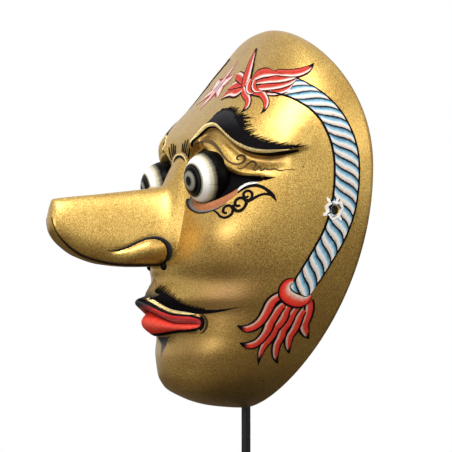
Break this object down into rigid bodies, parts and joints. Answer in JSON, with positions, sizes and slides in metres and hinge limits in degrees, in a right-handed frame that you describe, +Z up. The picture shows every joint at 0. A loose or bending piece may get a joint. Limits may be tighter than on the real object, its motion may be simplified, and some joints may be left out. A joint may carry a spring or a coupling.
{
  "type": "dance mask on a stand",
  "caption": "Carved gilt dance mask with a long blade nose, ball eyes and painted rope ornament, hung by its side holes on a black rod stand with a rectangular base.",
  "frame": {"origin": "middle of the base's underside, on the upright rod's axis", "axes": "+Z up along the rod, the mask faces -Y, +X is the wearer's left"},
  "size_m": [0.148, 0.1648, 0.309],
  "materials": {
    "gilt_wood": "gold paint over gesso, satin with a fine metallic grain, painted ornament in red, white, blue and black",
    "eye_paint": "white enamel with painted black, grey and olive rings",
    "dowel_wood": "bare",
    "black_steel": "black, satin",
    "screw_steel": "bright",
    "felt": "dark green felt",
    "rubber": "matt black"
  },
  "bodies": {
    "base": {"base_felt": "felt", "base_plate": "black_steel", "rod_socket": "black_steel", "socket_screw": "screw_steel", "socket_grub_screw": "screw_steel"},
    "upright": {"upright_rod": "black_steel", "arm_hub": "black_steel", "hub_grub_screw": "screw_steel", "left_arm": "black_steel", "right_arm": "black_steel", "left_arm_sleeve": "rubber", "right_arm_sleeve": "rubber", "chin_arm_collar": "black_steel", "collar_grub_screw": "screw_steel", "chin_arm": "black_steel", "chin_pad": "rubber"},
    "mask": {"mask_shell": "gilt_wood", "nose": "gilt_wood", "nose_dowel_upper": "dowel_wood", "nose_dowel_lower": "dowel_wood", "left_eyeball": "eye_paint", "right_eyeball": "eye_paint"}
  },
  "joints": [
    {"name": "rod_swivel", "type": "hinge", "parent": "base", "child": "upright", "pos_m": [0, 0, 0.03], "axis": [0, 0, 1], "continuous": true},
    {"name": "mask_tilt", "type": "hinge", "parent": "upright", "child": "mask", "pos_m": [0, 0.014, 0.209], "axis": [-1, 0, 0], "range_deg": [0, 20]}
  ]
}
